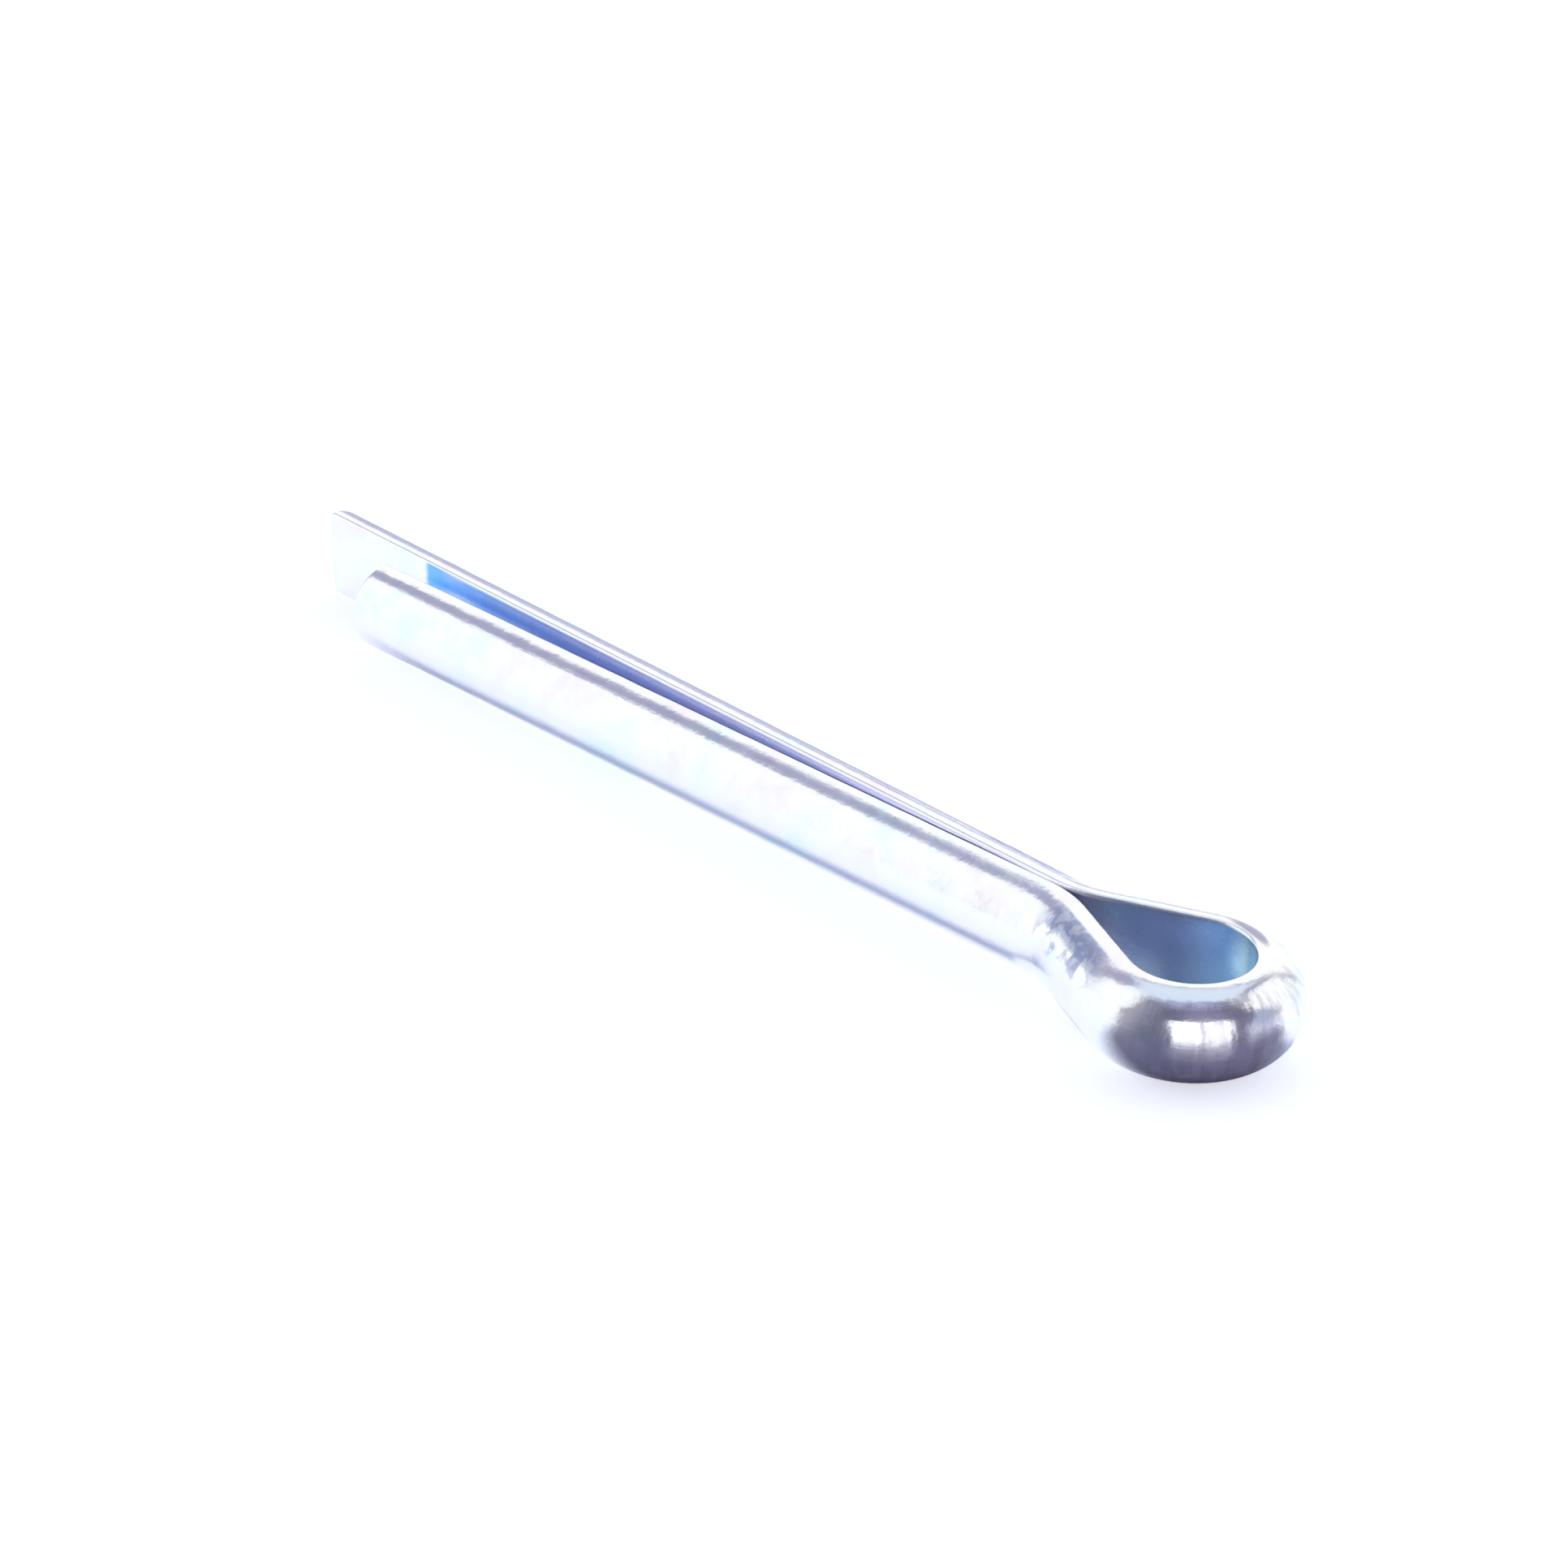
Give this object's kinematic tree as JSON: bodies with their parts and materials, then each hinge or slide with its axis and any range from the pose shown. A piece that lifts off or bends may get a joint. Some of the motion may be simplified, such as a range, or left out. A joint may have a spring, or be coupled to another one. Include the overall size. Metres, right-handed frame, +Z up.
{
  "type": "split cotter pin",
  "caption": "Split cotter pin of half-round zinc-plated steel wire, bent into a round eye with straight legs of unequal length, for locking a nut or clevis pin through a cross hole.",
  "frame": {"origin": "on the shank's axis, where the shoulders under the eye seat on the rim of a drilled hole", "axes": "+X from the leg tips towards the eye, +Y across the gap from the shorter leg to the longer leg, +Z up, along the axis of the eye's hole"},
  "size_m": [0.0623, 0.0096, 0.0044],
  "materials": {
    "zinc_plated_steel": "gloss"
  },
  "bodies": {
    "root": {"cotter_pin": "zinc_plated_steel"}
  },
  "joints": []
}
